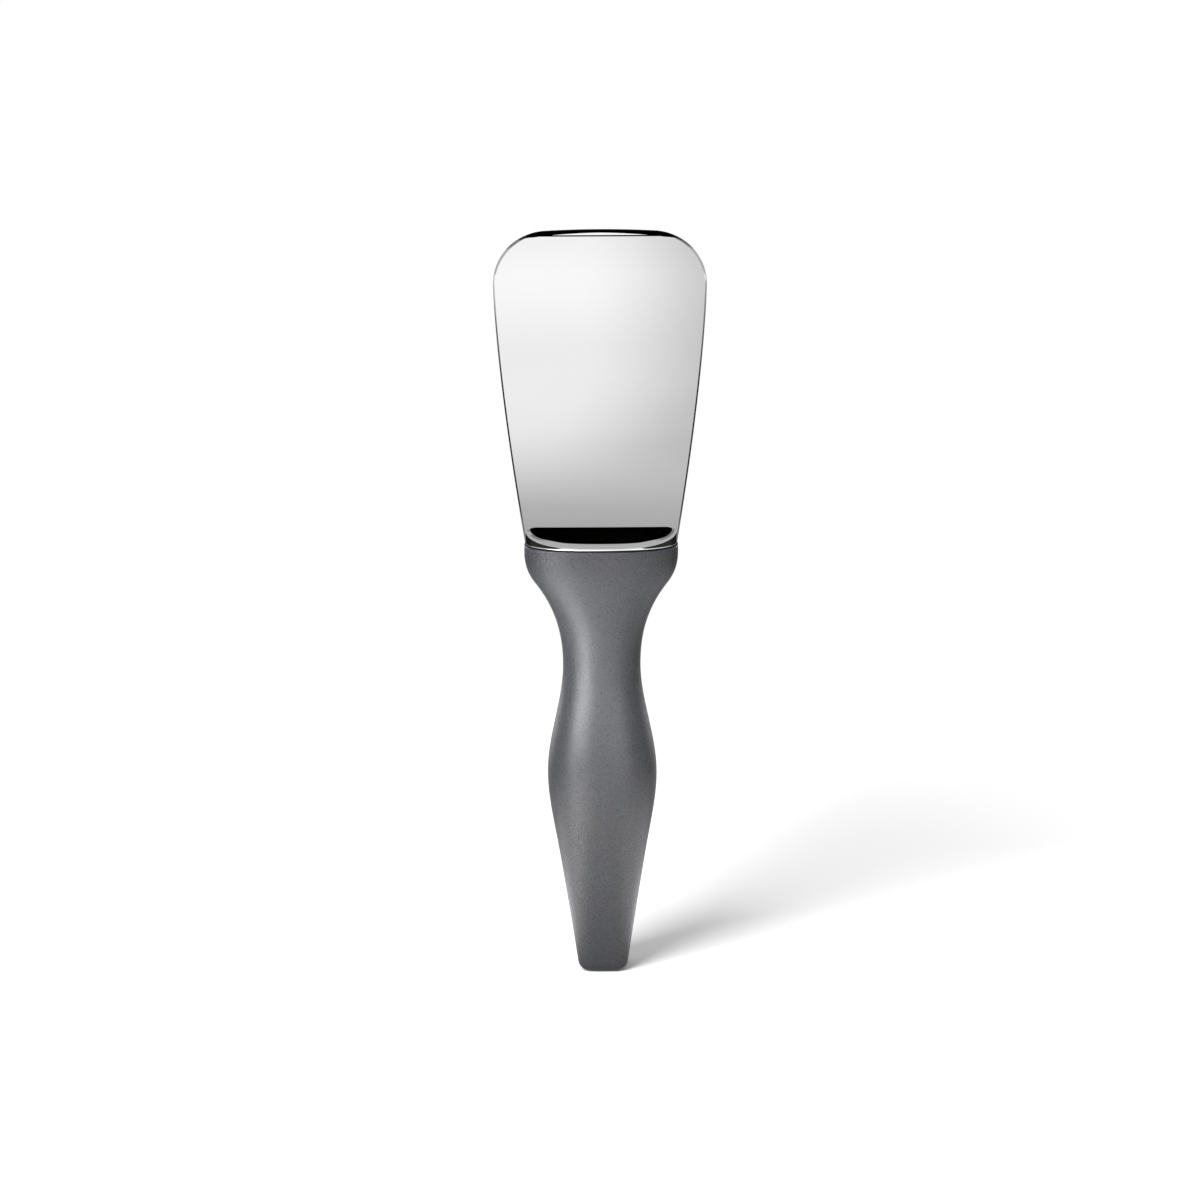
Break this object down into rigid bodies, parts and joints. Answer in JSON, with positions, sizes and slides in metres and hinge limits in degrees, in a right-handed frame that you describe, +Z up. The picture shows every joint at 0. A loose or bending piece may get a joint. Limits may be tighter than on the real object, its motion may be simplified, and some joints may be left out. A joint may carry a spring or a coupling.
{
  "type": "ice cream spade",
  "caption": "Ice cream spade: a flat polished cast blade with a ground, rounded digging edge, grown from an oval bolster, on a soft-gripped contoured handle with a flat foot.",
  "frame": {"origin": "centre of the foot's flat face, on which the spade stands", "axes": "+Z up along the handle to the digging edge, +X across the blade, -Y is the front, the side of the blade with the ground facet"},
  "size_m": [0.064, 0.026, 0.2286],
  "materials": {
    "polished_metal": "mirror polished",
    "core_plastic": "matte moulded",
    "pin_steel": "ground",
    "soft_grip": "satin, fine grain",
    "cap_plastic": "satin moulded"
  },
  "bodies": {
    "root": {"spade_head": "polished_metal", "handle_core": "core_plastic", "tang_pin_upper": "pin_steel", "tang_pin_lower": "pin_steel", "grip_sleeve": "soft_grip", "butt_cap": "cap_plastic"}
  },
  "joints": []
}
